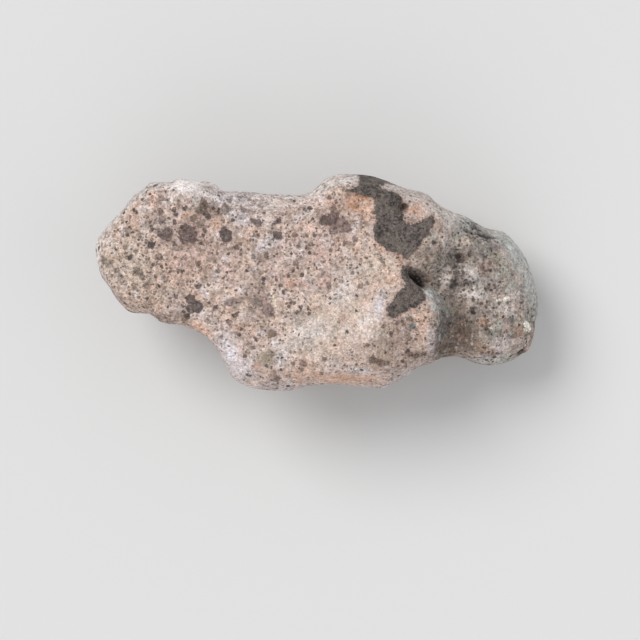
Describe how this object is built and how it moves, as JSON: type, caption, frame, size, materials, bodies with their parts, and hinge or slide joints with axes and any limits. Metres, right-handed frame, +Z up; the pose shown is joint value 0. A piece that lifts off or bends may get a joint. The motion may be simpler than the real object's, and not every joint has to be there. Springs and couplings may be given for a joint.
{
  "type": "stony meteorite",
  "caption": "Long, low, broken stone from space with a broad flat upper face, a lower rounded end and patches of dark fusion crust, lying on its flattest side.",
  "frame": {"origin": "under the middle of the stone's bounding box, on the surface it rests on", "axes": "+Z up out of the broad upper face, +X along the stone towards its lower, rounded end"},
  "size_m": [0.0801, 0.039, 0.0281],
  "materials": {
    "meteorite_stone": "matte, fine-grained cream to pink-grey stone, speckled with dark clasts, with charcoal fusion crust in two patches"
  },
  "bodies": {
    "root": {"meteorite_stone": "meteorite_stone"}
  },
  "joints": []
}
